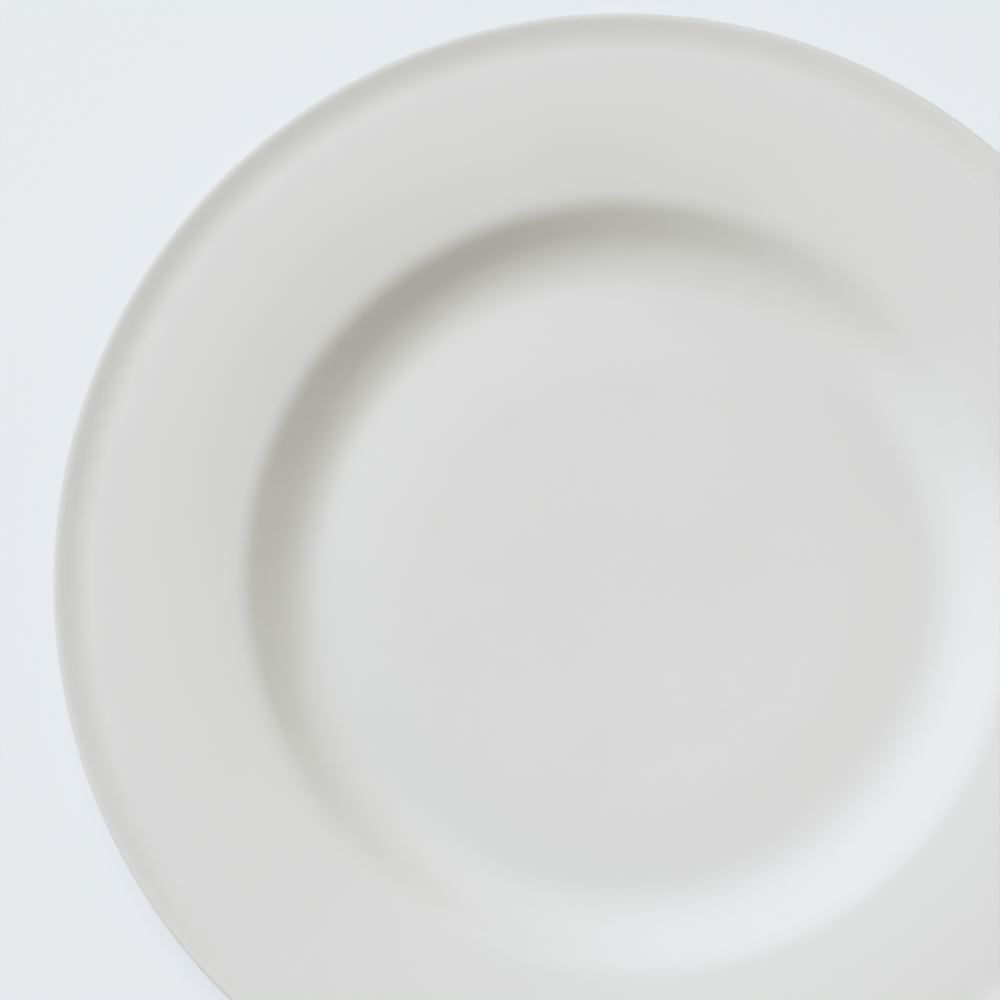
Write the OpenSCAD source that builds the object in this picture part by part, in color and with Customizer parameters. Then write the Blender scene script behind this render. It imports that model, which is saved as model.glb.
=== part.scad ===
// Rimmed dessert plate: a fired clay body turned from one outline, with a coat of
// glaze over its face, rim and back and a second, separate field of glaze inside
// the foot ring. The foot itself is wiped bare, so the plate stands on clay.
// Millimetres. The origin is on the table under the centre of the plate, +Z up.

/* [Plate] */
// Overall diameter, across the outside of the lip
plate_d = 210; // [180:1:260]
// Overall height, from the table to the top of the lip
plate_h = 19.2; // [17.5:0.1:24]

/* [Well] */
// Diameter at which the level middle of the floor begins to fall away
level_d = 85; // [40:1:104]
// Fall of the floor from its level middle to its corner with the wall
floor_fall = 1.1; // [0.2:0.1:1.8]
// Radius of the bend where the floor begins to fall
level_r = 125; // [20:1:260]
// Diameter of the corner between the floor and the wall
cove_d = 122.5; // [112:0.5:128]
// Radius of the curve between the floor and the wall
cove_r = 14.5; // [4:0.5:18]

/* [Rim] */
// Diameter of the corner between the wall and the rim
shoulder_d = 140.4; // [136:0.2:150]
// Radius of the curve between the wall and the rim
shoulder_r = 7.5; // [4:0.1:12]
// Rise of the rim from the shoulder to its crown
rim_rise = 2.4; // [0.8:0.1:4]
// Fall of the rim from its crown to the foot of the lip
rim_fall = 0.2; // [0:0.1:1]
// Radius of the crowned rim
crown_r = 170; // [40:1:260]

/* [Lip] */
// Width of the upturned lip, from its foot to the plate's edge
lip_w = 4.6; // [3.6:0.1:8]
// Height of the top of the lip above its foot
lip_rise = 1.35; // [0.8:0.05:3]
// Radius of the curve where the lip turns up from the rim
lip_curl_r = 11.5; // [3:0.5:16]
// Width of the top of the lip, between its corners
lip_top_w = 0.9; // [0.7:0.1:2]
// Radius of the curve between the slope of the lip and its top
lip_top_r = 2.6; // [0.8:0.1:6]
// Radius of the upper edge of the lip
lip_r = 0.45; // [0.35:0.05:1]
// Radius of the lower edge of the lip
lip_under_r = 2.2; // [0.8:0.1:3]

/* [Thickness] */
// Thickness of the middle of the well's floor
base_t = 4.8; // [3.6:0.1:6]
// Thickness of the wall of the well, up to the shoulder
wall_t = 4; // [3:0.1:5]
// Thickness of the rim at its crown
rim_t = 3.4; // [2.6:0.1:4.2]
// Thickness of the lip
lip_t = 2.6; // [2:0.1:3.4]

/* [Foot] */
// Height of the foot ring, from the table to the recess inside it
foot_h = 3.4; // [2.4:0.1:5]
// Height of the outer side of the foot ring, where the wall rests on it
foot_side_h = 1.8; // [1.4:0.1:2.6]
// Width of the foot ring on the table, between its corners
foot_w = 4.2; // [3:0.1:6]
// Lean of the sides of the foot ring, in degrees from upright
foot_draft = 14; // [4:1:24]
// Radius of the foot ring's lower edges
foot_edge_r = 0.8; // [0.4:0.1:1.1]
// Radius of the curves at the root of the foot ring
foot_root_r = 2.2; // [0.6:0.1:3]

/* [Glaze] */
// Thickness of the glaze
glaze_t = 0.3; // [0.15:0.05:0.5]
// Height of the band wiped bare of glaze above the table
bare_h = 1; // [0.8:0.1:1.3]

/* [Hidden] */

// Colours of the clay and of the glaze
clay_colour = "#e4dfd3";
glaze_colour = "#d8d9d8";
// Largest gap allowed between a true curve and the straight steps that draw it
step_gap = 0.01;
// Largest share of a small curve's radius that such a gap may be
gap_share = 0.5;
// Bend too small to be a corner
straight = 1e-6;
// Steps round the axis
$fn = 180;

// Levels above the table
shoulder_z = plate_h - lip_rise + rim_fall - rim_rise;
crown_z = shoulder_z + rim_rise;
lip_z = crown_z - rim_fall;
floor_z = foot_h + base_t;

// Radii from the axis
lip_foot = plate_d / 2 - lip_w;
crown_at = (shoulder_d / 2 + lip_foot) / 2;

// A corner is [radius, height, radius of its curve]. An outline is a list of corners.
function place(corner) = [corner.x, corner.y];
function toward(a, b) = (place(b) - place(a)) / norm(place(b) - place(a));
function left_of(d) = [-d.y, d.x];
function turn(d0, d1) = atan2(cross(d0, d1), d0 * d1);

// The corner between two edges, after each edge has moved to its left by its own distance
function moved_corner(corner, d0, d1, by0, by1) =
    let (side = cross(d0, d1))
    let (curve = corner.z - sign(side) * min(by0, by1))
    let (shift = abs(side) < straight ? left_of(d0) * by0 : (d1 * by0 - d0 * by1) / side)
    [corner.x + shift.x, corner.y + shift.y, corner.z == 0 ? 0 : max(curve, step_gap)];

// A closed outline with edge i, from corner i to the next, moved to its left by by[i]
function moved_outline(corners, by) =
    let (last = len(corners) - 1)
    [for (i = [0:last])
        let (before = i == 0 ? last : i - 1, after = i == last ? 0 : i + 1)
        moved_corner(corners[i], toward(corners[before], corners[i]),
                     toward(corners[i], corners[after]), by[before], by[i])];

// Steps of the arc that rounds off a corner between two directions, from step number `first`
function arc(corner, d0, d1, radius, first) =
    let (bend = turn(d0, d1), side = sign(bend))
    let (back = radius * tan(abs(bend) / 2), from = atan2(d0.y, d0.x) - 90 * side)
    let (centre = place(corner) - d0 * back + left_of(d0) * side * radius)
    let (steps = ceil(abs(bend) / (2 * acos(1 - min(step_gap / radius, gap_share)))))
    [for (k = [first:steps])
        let (at = from + bend * k / steps)
        k == 0 ? place(corner) - d0 * back
            : k == steps ? place(corner) + d1 * back
            : centre + radius * [cos(at), sin(at)]];

// The part of a curve's reach that an edge has room for, beside the curve at its other end.
// Where there isn't room for both, the longer one gives way.
function kept(reach, other, span) =
    reach + other <= span ? reach
        : reach <= other ? min(reach, span / 2)
        : span - min(other, span / 2);

// Points of a closed outline with each corner rounded
function rounded(corners) =
    let (last = len(corners) - 1)
    let (next = [for (i = [0:last]) i == last ? 0 : i + 1])
    let (before = [for (i = [0:last]) i == 0 ? last : i - 1])
    let (ahead = [for (i = [0:last]) toward(corners[i], corners[next[i]])])
    let (span = [for (i = [0:last]) norm(place(corners[next[i]]) - place(corners[i]))])
    let (half = [for (i = [0:last]) tan(abs(turn(ahead[before[i]], ahead[i])) / 2)])
    let (wish = [for (i = [0:last]) corners[i].z * half[i]])
    let (reach = [for (i = [0:last])
        min(kept(wish[i], wish[before[i]], span[before[i]]), kept(wish[i], wish[next[i]], span[i]))])
    [for (i = [0:last])
        let (met = span[before[i]] - reach[before[i]] - reach[i] < step_gap)
        each reach[i] < straight
            ? [place(corners[i])]
            : arc(corners[i], ahead[before[i]], ahead[i], reach[i] / half[i], met ? 1 : 0)];

// Corners of the face, from the axis out to the upper edge of the lip
face = [
    [0, floor_z, 0],
    [level_d / 2, floor_z, level_r],
    [cove_d / 2, floor_z - floor_fall, cove_r],
    [shoulder_d / 2, shoulder_z, shoulder_r],
    [crown_at, crown_z, crown_r],
    [lip_foot, lip_z, lip_curl_r],
    [plate_d / 2 - lip_top_w, plate_h, lip_top_r],
    [plate_d / 2, plate_h, lip_r]
];

// Places of the shoulder and of the lip's foot among those corners
shoulder_corner = 3;
lip_foot_corner = 5;

// The back follows the face at its own thickness under the shoulder, the crown and the lip
back_t = [wall_t, rim_t, lip_t];
back = [for (i = [0:lip_foot_corner - shoulder_corner])
    let (at = shoulder_corner + i)
    moved_corner(face[at], toward(face[at - 1], face[at]), toward(face[at], face[at + 1]),
                 -back_t[i], -back_t[i])];

// The lip ends upright, so its lower edge lies under its upper one
lip_back = back[len(back) - 1];
lip_along = toward(face[lip_foot_corner], face[lip_foot_corner + 1]);
lip_under = lip_back.y + (plate_d / 2 - lip_back.x) * lip_along.y / lip_along.x;

// The foot ring stands where the back of the wall comes down to the height of its outer side
wall_along = toward(face[shoulder_corner - 1], face[shoulder_corner]);
foot_out = back[0].x - (back[0].y - foot_side_h) * wall_along.x / wall_along.y;
stand_out = foot_out - foot_side_h * tan(foot_draft);
stand_in = stand_out - foot_w;
foot_in = stand_in - foot_h * tan(foot_draft);

// Corners of the foot ring, from the recess inside it to the wall outside it
foot = [
    [foot_in, foot_h, foot_root_r],
    [stand_in, 0, foot_edge_r],
    [stand_out, 0, foot_edge_r],
    [foot_out, foot_side_h, foot_root_r]
];

// The finished outline, counter-clockwise from the axis under the plate
finished = concat(
    [[0, foot_h, 0]],
    foot,
    back,
    [[plate_d / 2, lip_under, lip_under_r]],
    [for (i = [len(face) - 1:-1:0]) face[i]]
);

// Glaze covers every edge but the one that stands on the table and the axis itself
standing_edge = 2;
axis_edge = len(finished) - 1;
coats = [for (i = [0:axis_edge]) i == standing_edge || i == axis_edge ? 0 : glaze_t];
clay = moved_outline(finished, coats);

// Section of all the glaze: the finished outline less the clay and the wiped band
module glaze_section() {
    difference() {
        polygon(rounded(finished));
        polygon(rounded(clay));
        square([plate_d, bare_h]);
    }
}

// The part of a section that lies inside the foot ring
module inside_foot() {
    square([(stand_in + stand_out) / 2, foot_h + base_t / 2]);
}

// Fired clay body, which carries everything and stands on its bare foot
module plate_body() {
    color(clay_colour)
        rotate_extrude()
            polygon(rounded(clay));
}

// Glaze over the face, round the lip and down the back to the wiped foot
module glaze_coat() {
    color(glaze_colour)
        rotate_extrude()
            difference() {
                glaze_section();
                inside_foot();
            }
}

// Glaze in the recess inside the foot ring
module base_glaze() {
    color(glaze_colour)
        rotate_extrude()
            intersection() {
                glaze_section();
                inside_foot();
            }
}

plate_body();
glaze_coat();
base_glaze();
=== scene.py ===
"""A round rimmed dessert plate in matt white glaze, seen from above.

The clay body, the coat of glaze and the glaze in the foot's recess are turned on the plate's
axis from the sections of their solids, so they keep the plate's real sizes. Lengths are in
metres and angles in degrees, where nothing else is said.
"""

import math

import bpy
from mathutils import Euler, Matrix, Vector


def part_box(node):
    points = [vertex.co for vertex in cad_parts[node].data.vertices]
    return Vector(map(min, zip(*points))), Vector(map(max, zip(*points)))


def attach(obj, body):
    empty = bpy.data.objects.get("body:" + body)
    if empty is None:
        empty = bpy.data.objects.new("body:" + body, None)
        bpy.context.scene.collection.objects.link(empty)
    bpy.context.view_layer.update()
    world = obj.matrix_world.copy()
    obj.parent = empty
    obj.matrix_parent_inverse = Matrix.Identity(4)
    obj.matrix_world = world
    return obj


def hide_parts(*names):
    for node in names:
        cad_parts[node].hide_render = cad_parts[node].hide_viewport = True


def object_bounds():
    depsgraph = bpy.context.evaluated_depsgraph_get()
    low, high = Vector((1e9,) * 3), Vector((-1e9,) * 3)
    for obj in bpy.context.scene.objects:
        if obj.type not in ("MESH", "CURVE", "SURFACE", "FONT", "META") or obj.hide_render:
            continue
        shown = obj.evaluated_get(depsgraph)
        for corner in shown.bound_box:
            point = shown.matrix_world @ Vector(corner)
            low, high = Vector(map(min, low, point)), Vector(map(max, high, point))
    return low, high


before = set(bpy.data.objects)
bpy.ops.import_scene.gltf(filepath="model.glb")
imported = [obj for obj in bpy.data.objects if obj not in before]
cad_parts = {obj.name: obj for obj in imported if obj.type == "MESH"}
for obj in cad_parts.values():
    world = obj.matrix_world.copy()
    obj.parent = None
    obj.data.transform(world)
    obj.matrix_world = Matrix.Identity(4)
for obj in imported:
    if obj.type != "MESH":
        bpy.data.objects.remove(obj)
cad_low, cad_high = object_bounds()
plate_radius = cad_high.x
plate_height = cad_high.z
wipe_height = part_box("glaze_coat")[0].z

# The photograph's frame, and the plate's centre and radius in it, in pixels
PHOTO_SIZE = 1000
CENTRE_PX = (632.1, 581.2)
RADIUS_PX = 575.8

# The camera hangs over the plate, a few degrees off level about X and Y. The depth is that of the
# plate's outline under the top of its lip, and the sensor's width is in millimetres.
CAMERA_DISTANCE = 0.78
CAMERA_TILT = (5.4, -4.0, 0.0)
OUTLINE_DEPTH = 0.0014
SENSOR_WIDTH = 36.0

# Turning: steps round the axis, the longest step along a section, the distance within which points
# are merged, and the bend under which a section counts as straight
TURN_STEPS = 240
SECTION_STEP = 0.004
MERGE_DISTANCE = 0.000002
STRAIGHT_BEND = 0.02

# The wiped edge of the glaze is melted round
MELT_RADIUS = 0.00012
MELT_STEPS = 3

# The kiln's warp: how far the lip sinks at most, the size of its waves, and the radius where it starts
WARP_DEPTH = 0.00025
WARP_SIZE = 0.11
WARP_START = 0.062

# Glaze: its colour, its colour along the lip's edge, darker where the glaze runs thin and with painted
# shade for the lip's shading, and the width of that edge
GLAZE_COLOUR = (0.705, 0.710, 0.702, 1)
THIN_GLAZE_AND_EDGE_SHADE_COLOUR = (0.645, 0.642, 0.625, 1)
THIN_AND_SHADED_EDGE_WIDTH = 0.0009

# Its gloss, and the noises that change its tone, its roughness and its height a little
GLAZE_IOR = 1.5
GLAZE_SPECULAR = 0.3
TONE_CLOUDS = dict(scale=35, detail=3)
TONE_RANGE = (0.992, 1.008)
ROUGH_SPOTS = dict(scale=140, detail=4)
ROUGH_RANGE = (0.64, 0.76)
MELT_RIPPLE = dict(scale=420, detail=2)
RIPPLE_RELIEF = dict(strength=0.25, depth=0.00003)

# Nearly all values of a noise lie in this span
NOISE_SPAN = (0.2, 0.8)

# Specks: the net of cells they lie in and its shift, their radius, the shares of it between which
# they fade out, the share of cells that have one, and their colour
SPECK_CELL = 0.022
SPECK_SHIFT = (-0.2600, 0.1832, 0)
SPECK_RADIUS = 0.00026
SPECK_FADE = (0.5, 1.5)
SPECK_CHANCE = 0.1
SPECK_COLOUR = (0.643, 0.640, 0.623, 1)

# Clay: its colour, paler in its grain and darker where it is worn, its roughness, and its wear, which
# begins and is fullest at the two ends of a span of its noise
CLAY_COLOUR = (0.60, 0.545, 0.455, 1)
CLAY_PALE_COLOUR = (0.69, 0.645, 0.565, 1)
CLAY_WORN_COLOUR = (0.50, 0.46, 0.40, 1)
CLAY_ROUGHNESS = 0.9
CLAY_GRAIN = dict(scale=900, detail=5)
CLAY_WEAR = dict(scale=90, detail=3)
WEAR_SPAN = (0.5, 0.75)
WEAR_RANGE = (0, 0.5)
CLAY_RELIEF = dict(strength=0.5, depth=0.00004)

# Rings that the turning tool left in the clay: their spacing, how much and how finely they waver, and
# the spacing that the ring pattern has at a scale of 1
RING_SPACING = 0.0006
RING_WAVER = 2
RING_WAVER_SCALE = 0.2
PATTERN_SPACING = math.pi / 10

# Table top and what lies behind it, and the share of its look that is lit and shaded
TABLE_SIZE = 16.0
TABLE_COLOUR = (0.80, 0.83, 0.855, 1)
TABLE_SHADED = 0.2
TABLE_ROUGHNESS = 0.8
TABLE_SPECULAR = 0.2

# Broad lights: direction in the plan, height and spread, strength and colour
LIGHT_DISTANCE = 1.0
KEY_LIGHT = dict(plan=155.0, height=36.6, spread=16.0, strength=1.57, colour=(0.93, 1.0, 1.215))
TOP_LIGHT = dict(plan=111.6, height=71.9, spread=16.0, strength=1.355, colour=(1.016, 1.0, 0.956))
SIDE_LIGHT = dict(plan=40.0, height=15.0, spread=26.0, strength=0.714, colour=(0.99, 1.0, 1.025))

# Warm light that the room gives back, from one side and from all round
ROOM_COLOUR = (1.077, 1.0, 0.735)
BOUNCE_LIGHT = dict(plan=230.7, height=16.0, spread=19.0, strength=0.355, colour=ROOM_COLOUR)
FILL_STRENGTH = 0.155


def begin_edit(piece):
    """Makes a piece the only selected object and opens it in edit mode with all of it selected."""
    bpy.ops.object.select_all(action="DESELECT")
    piece.select_set(True)
    bpy.context.view_layer.objects.active = piece
    bpy.ops.object.mode_set(mode="EDIT")
    bpy.ops.mesh.select_all(action="SELECT")


def select_where(piece, kind, test):
    """Selects in edit mode only the vertices or edges that pass a test, and counts them."""
    bpy.ops.mesh.select_all(action="DESELECT")
    bpy.ops.mesh.select_mode(type="VERT" if kind == "vertices" else "EDGE")
    bpy.ops.object.mode_set(mode="OBJECT")
    found = [part for part in getattr(piece.data, kind) if test(part)]
    for part in found:
        part.select = True
    bpy.ops.object.mode_set(mode="EDIT")
    return len(found)


def section_of(node, name):
    """A new object, open in edit mode, with the section of a CAD node on the right of the axis."""
    piece = bpy.data.objects.new(name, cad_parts[node].data.copy())
    bpy.context.scene.collection.objects.link(piece)
    piece.data.materials.clear()
    begin_edit(piece)
    bpy.ops.mesh.customdata_custom_splitnormals_clear()
    bpy.ops.mesh.remove_doubles(threshold=MERGE_DISTANCE)
    bpy.ops.mesh.bisect(
        plane_co=(0, 0, 0), plane_no=(0, 1, 0), clear_inner=True, clear_outer=True
    )
    bpy.ops.mesh.select_all(action="SELECT")
    bpy.ops.mesh.bisect(plane_co=(0, 0, 0), plane_no=(1, 0, 0), clear_inner=True)
    bpy.ops.mesh.select_all(action="SELECT")
    bpy.ops.mesh.dissolve_limited(angle_limit=math.radians(STRAIGHT_BEND))
    return piece


def edge_length(piece, edge):
    """The distance between an edge's two ends."""
    start, end = (piece.data.vertices[i].co for i in edge.vertices)
    return (end - start).length


def split_long_edges(piece):
    """Halves the straight stretches of a section until none is longer than a step."""
    while select_where(piece, "edges", lambda e: edge_length(piece, e) > SECTION_STEP):
        bpy.ops.mesh.subdivide(number_cuts=1)


def melt_wiped_edge(piece):
    """Rounds the two corners of a glaze section where it was wiped off the foot."""
    select_where(piece, "vertices", lambda v: abs(v.co.z - wipe_height) < MERGE_DISTANCE)
    bpy.ops.mesh.bevel(offset=MELT_RADIUS, segments=MELT_STEPS, affect="VERTICES")


def turn(piece):
    """Turns a section once round the plate's axis and closes the seam and the poles."""
    bpy.ops.mesh.select_all(action="SELECT")
    bpy.ops.mesh.spin(
        steps=TURN_STEPS, angle=2 * math.pi, center=(0, 0, 0), axis=(0, 0, 1)
    )
    bpy.ops.mesh.select_all(action="SELECT")
    bpy.ops.mesh.remove_doubles(threshold=MERGE_DISTANCE)
    bpy.ops.mesh.select_all(action="SELECT")
    bpy.ops.mesh.normals_make_consistent(inside=False)
    bpy.ops.object.mode_set(mode="OBJECT")
    bpy.ops.object.shade_smooth()


def warp(piece):
    """Lets the rim sink a little in slow waves, as a plate's rim does in the kiln."""
    group = piece.vertex_groups.new(name="rim")
    for vertex in piece.data.vertices:
        share = (vertex.co.xy.length - WARP_START) / (plate_radius - WARP_START)
        if share > 0:
            group.add([vertex.index], share, "REPLACE")
    waves = bpy.data.textures.new(piece.name + "_warp", "CLOUDS")
    waves.noise_scale = WARP_SIZE
    waves.noise_depth = 0
    sag = piece.modifiers.new("warp", "DISPLACE")
    sag.texture = waves
    sag.texture_coords = "LOCAL"
    sag.direction = "Z"
    sag.vertex_group = group.name
    sag.mid_level = 0
    sag.strength = -WARP_DEPTH
    bpy.ops.object.modifier_apply(modifier=sag.name)


def turned_piece(node, name, glazed):
    """A finished piece of the plate, which takes the place of its CAD node."""
    piece = section_of(node, name)
    split_long_edges(piece)
    if glazed:
        melt_wiped_edge(piece)
    turn(piece)
    warp(piece)
    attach(piece, "root")
    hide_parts(node)
    return piece


def new_material(name):
    """A new material, with its nodes, its links and its Principled shader."""
    material = bpy.data.materials.new(name)
    material.use_nodes = True
    nodes = material.node_tree.nodes
    return material, nodes, material.node_tree.links, nodes["Principled BSDF"]


def feed(links, value, socket):
    """Gives a socket a value: a link from another socket, or a constant."""
    if isinstance(value, bpy.types.NodeSocket):
        links.new(value, socket)
    else:
        socket.default_value = value


def worked_out(nodes, links, operation, one, other):
    """The sum, the product or the larger of two values."""
    both = nodes.new("ShaderNodeMath")
    both.operation = operation
    feed(links, one, both.inputs[0])
    feed(links, other, both.inputs[1])
    return both.outputs["Value"]


def noise(nodes, links, place, scale, detail):
    """A fine or slow change over a piece, from 0 to 1."""
    texture = nodes.new("ShaderNodeTexNoise")
    texture.inputs["Scale"].default_value = scale
    texture.inputs["Detail"].default_value = detail
    links.new(place, texture.inputs["Vector"])
    return texture.outputs["Fac"]


def eased(nodes, links, value, before, after):
    """A value carried from one range into another, with a soft start and end."""
    ease = nodes.new("ShaderNodeMapRange")
    ease.interpolation_type = "SMOOTHSTEP"
    ease.inputs["From Min"].default_value = before[0]
    ease.inputs["From Max"].default_value = before[1]
    ease.inputs["To Min"].default_value = after[0]
    ease.inputs["To Max"].default_value = after[1]
    links.new(value, ease.inputs["Value"])
    return ease.outputs["Result"]


def blend(nodes, links, share, start, end):
    """A colour that passes from a start to an end as a share goes from 0 to 1."""
    mix = nodes.new("ShaderNodeMix")
    mix.data_type = "RGBA"
    feed(links, share, mix.inputs["Factor"])
    feed(links, start, mix.inputs["A"])
    feed(links, end, mix.inputs["B"])
    return mix.outputs["Result"]


def rough_up(nodes, links, shader, height, strength, depth):
    """Raises a surface a little by a height."""
    bump = nodes.new("ShaderNodeBump")
    bump.inputs["Strength"].default_value = strength
    bump.inputs["Distance"].default_value = depth
    links.new(height, bump.inputs["Height"])
    links.new(bump.outputs["Normal"], shader.inputs["Normal"])


def radius_from_axis(nodes, links, place):
    """How far a place lies from the plate's axis."""
    flat = nodes.new("ShaderNodeVectorMath")
    flat.operation = "MULTIPLY"
    flat.inputs[1].default_value = (1, 1, 0)
    links.new(place, flat.inputs[0])
    radius = nodes.new("ShaderNodeVectorMath")
    radius.operation = "LENGTH"
    links.new(flat.outputs["Vector"], radius.inputs[0])
    return radius.outputs["Value"]


def specks(nodes, links, place):
    """The few faint dark specks that a firing leaves: a dot in some cells of a net."""
    shifted = nodes.new("ShaderNodeMapping")
    shifted.inputs["Location"].default_value = SPECK_SHIFT
    links.new(place, shifted.inputs["Vector"])
    cells = nodes.new("ShaderNodeTexVoronoi")
    cells.voronoi_dimensions = "2D"
    cells.inputs["Scale"].default_value = 1 / SPECK_CELL
    links.new(shifted.outputs["Vector"], cells.inputs["Vector"])
    fade = [share * SPECK_RADIUS / SPECK_CELL for share in SPECK_FADE]
    dot = eased(nodes, links, cells.outputs["Distance"], fade, (1, 0))
    chance = nodes.new("ShaderNodeSeparateColor")
    links.new(cells.outputs["Color"], chance.inputs["Color"])
    chosen = eased(nodes, links, chance.outputs["Red"], (0, SPECK_CHANCE), (1, 0))
    return worked_out(nodes, links, "MULTIPLY", dot, chosen)


def glaze_material():
    """Matt white glaze: uneven in tone and gloss, finely rippled, sparsely specked, thin on the edge,
    with painted shade darkening that edge.
    """
    material, nodes, links, shader = new_material("matt_white_glaze")
    shader.inputs["IOR"].default_value = GLAZE_IOR
    shader.inputs["Specular IOR Level"].default_value = GLAZE_SPECULAR
    place = nodes.new("ShaderNodeTexCoord").outputs["Object"]
    radius = radius_from_axis(nodes, links, place)

    # Painted shade: the lip's edge is darker, partly for the thin glaze and partly to stand in for the
    # shading of the lip.
    thin_and_shaded_edge = eased(nodes, links, radius, (plate_radius - THIN_AND_SHADED_EDGE_WIDTH, plate_radius), (0, 1))
    colour = blend(nodes, links, thin_and_shaded_edge, GLAZE_COLOUR, THIN_GLAZE_AND_EDGE_SHADE_COLOUR)
    colour = blend(nodes, links, specks(nodes, links, place), colour, SPECK_COLOUR)
    clouds = noise(nodes, links, place, **TONE_CLOUDS)
    toned = nodes.new("ShaderNodeVectorMath")
    toned.operation = "SCALE"
    links.new(colour, toned.inputs[0])
    links.new(eased(nodes, links, clouds, NOISE_SPAN, TONE_RANGE), toned.inputs["Scale"])
    links.new(toned.outputs["Vector"], shader.inputs["Base Color"])

    spots = noise(nodes, links, place, **ROUGH_SPOTS)
    links.new(eased(nodes, links, spots, NOISE_SPAN, ROUGH_RANGE), shader.inputs["Roughness"])

    ripple = noise(nodes, links, place, **MELT_RIPPLE)
    rough_up(nodes, links, shader, ripple, **RIPPLE_RELIEF)
    return material


def clay_material():
    """Bare fired clay: dry, buff, finely grained, with the rings that the turning left."""
    material, nodes, links, shader = new_material("bare_fired_clay")
    shader.inputs["Roughness"].default_value = CLAY_ROUGHNESS
    place = nodes.new("ShaderNodeTexCoord").outputs["Object"]
    grain = noise(nodes, links, place, **CLAY_GRAIN)
    colour = blend(nodes, links, grain, CLAY_COLOUR, CLAY_PALE_COLOUR)
    wear = noise(nodes, links, place, **CLAY_WEAR)
    worn = eased(nodes, links, wear, WEAR_SPAN, WEAR_RANGE)
    colour = blend(nodes, links, worn, colour, CLAY_WORN_COLOUR)
    links.new(colour, shader.inputs["Base Color"])

    rings = nodes.new("ShaderNodeTexWave")
    rings.wave_type = "RINGS"
    rings.rings_direction = "Z"
    rings.inputs["Scale"].default_value = PATTERN_SPACING / RING_SPACING
    rings.inputs["Distortion"].default_value = RING_WAVER
    rings.inputs["Detail Scale"].default_value = RING_WAVER_SCALE
    links.new(place, rings.inputs["Vector"])
    height = worked_out(nodes, links, "ADD", grain, rings.outputs["Fac"])
    rough_up(nodes, links, shader, height, **CLAY_RELIEF)
    return material


def mix_lit_and_seen(nodes, links, lit, seen, share, surface):
    """Gives a surface what is lit, mixed with a share of a look that only eye, gloss and glass see."""
    path = nodes.new("ShaderNodeLightPath").outputs
    looking = worked_out(nodes, links, "MAXIMUM", path["Is Camera Ray"], path["Is Glossy Ray"])
    looking = worked_out(nodes, links, "MAXIMUM", looking, path["Is Transmission Ray"])
    mix = nodes.new("ShaderNodeMixShader")
    links.new(worked_out(nodes, links, "MULTIPLY", looking, share), mix.inputs["Fac"])
    links.new(lit, mix.inputs[1])
    links.new(seen, mix.inputs[2])
    links.new(mix.outputs["Shader"], surface)


def table():
    """The pale table top, which keeps the plate's shadow faintly."""
    bpy.ops.object.select_all(action="DESELECT")
    bpy.ops.mesh.primitive_plane_add(size=TABLE_SIZE)
    top = bpy.context.active_object
    top.name = "table_top"
    material, nodes, links, shader = new_material("pale_table")
    shader.inputs["Base Color"].default_value = TABLE_COLOUR
    shader.inputs["Roughness"].default_value = TABLE_ROUGHNESS
    shader.inputs["Specular IOR Level"].default_value = TABLE_SPECULAR
    pale = nodes.new("ShaderNodeEmission")
    pale.inputs["Color"].default_value = TABLE_COLOUR
    lit = shader.outputs["BSDF"]
    seen = pale.outputs["Emission"]
    surface = nodes["Material Output"].inputs["Surface"]
    mix_lit_and_seen(nodes, links, lit, seen, 1 - TABLE_SHADED, surface)
    top.data.materials.append(material)


def soft_light(name, plan, height, spread, strength, colour):
    """A broad soft light from far off, which falls evenly over the plate."""
    away = Vector((1, 0, 0))
    away.rotate(Euler((0, -math.radians(height), math.radians(plan))))
    bpy.ops.object.light_add(type="SUN", location=away * LIGHT_DISTANCE)
    lamp = bpy.context.active_object
    lamp.name = name
    lamp.rotation_euler = (-away).to_track_quat("-Z", "Y").to_euler()
    lamp.data.angle = math.radians(spread)
    lamp.data.energy = strength
    lamp.data.color = colour


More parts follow.
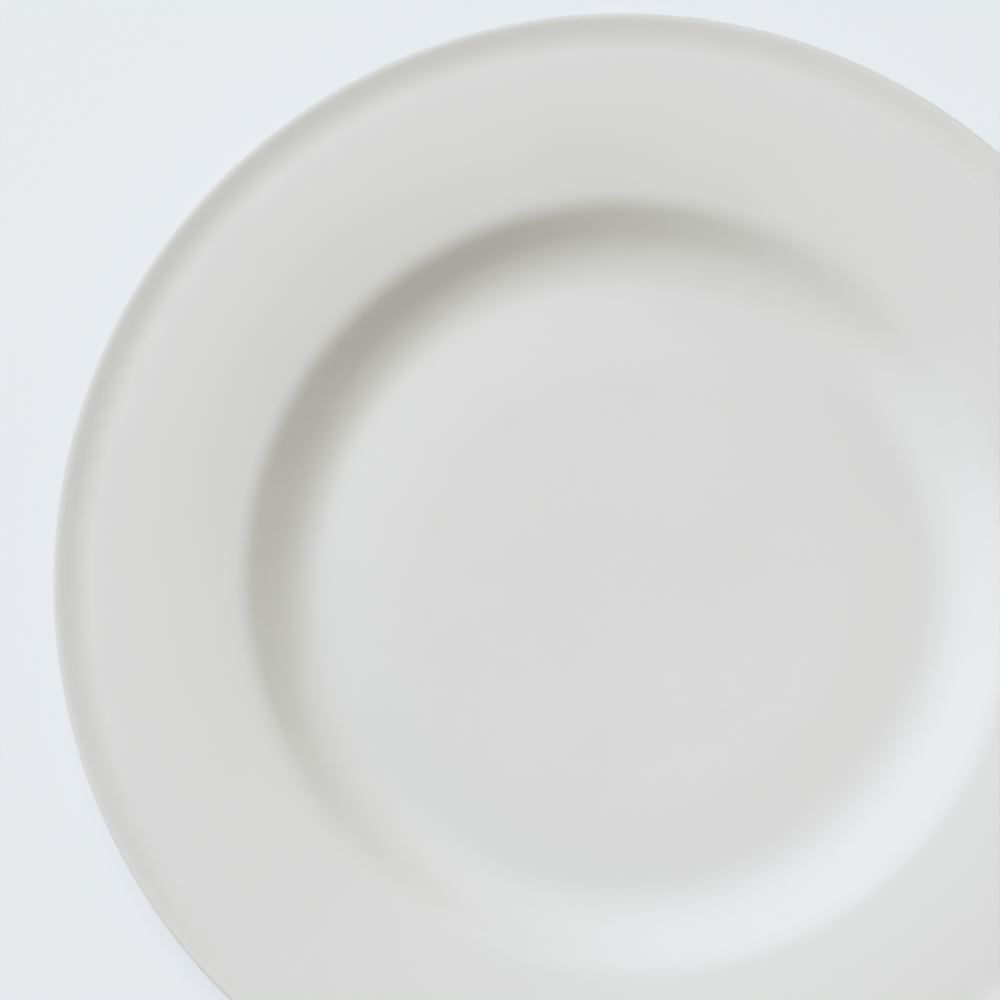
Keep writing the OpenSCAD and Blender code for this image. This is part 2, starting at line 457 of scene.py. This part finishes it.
def surroundings():
    """Soft light from all round. What the eye and gloss see behind the table is as pale as the table."""
    world = bpy.data.worlds.new("room")
    bpy.context.scene.world = world
    world.use_nodes = True
    nodes, links = world.node_tree.nodes, world.node_tree.links
    pale = nodes.new("ShaderNodeBackground")
    pale.inputs["Color"].default_value = TABLE_COLOUR
    fill = nodes["Background"]
    fill.inputs["Color"].default_value = (*ROOM_COLOUR, 1)
    fill.inputs["Strength"].default_value = FILL_STRENGTH
    lit = fill.outputs["Background"]
    seen = pale.outputs["Background"]
    mix_lit_and_seen(nodes, links, lit, seen, 1, nodes["World Output"].inputs["Surface"])


def camera():
    """Looks down at the plate, with its centre and edge where the photograph has them."""
    metres_per_px = plate_radius / RADIUS_PX
    middle_px = PHOTO_SIZE / 2
    tilt = Euler([math.radians(angle) for angle in CAMERA_TILT])
    to_centre = Vector(
        (
            (CENTRE_PX[0] - middle_px) * metres_per_px,
            (middle_px - CENTRE_PX[1]) * metres_per_px,
            -CAMERA_DISTANCE,
        )
    )
    to_centre.rotate(tilt)
    data = bpy.data.cameras.new("camera")
    data.sensor_width = SENSOR_WIDTH
    data.lens = SENSOR_WIDTH * CAMERA_DISTANCE / (PHOTO_SIZE * metres_per_px)
    eye = bpy.data.objects.new("camera", data)
    eye.location = Vector((0, 0, plate_height - OUTLINE_DEPTH)) - to_centre
    eye.rotation_euler = tilt
    bpy.context.scene.collection.objects.link(eye)
    bpy.context.scene.camera = eye


glaze = glaze_material()
clay = clay_material()
for node, name, material, slot in (
    ("plate_body", "clay_body", clay, "clay"),
    ("glaze_coat", "matt_coat", glaze, "glaze"),
    ("base_glaze", "recess_glaze", glaze, "glaze"),
):
    piece = turned_piece(node, name, glazed=slot == "glaze")
    piece.data.materials.append(material)

camera()
table()
soft_light("key_light", **KEY_LIGHT)
soft_light("top_light", **TOP_LIGHT)
soft_light("side_light", **SIDE_LIGHT)
soft_light("bounce_light", **BOUNCE_LIGHT)
surroundings()

bpy.context.scene.view_settings.view_transform = "Standard"
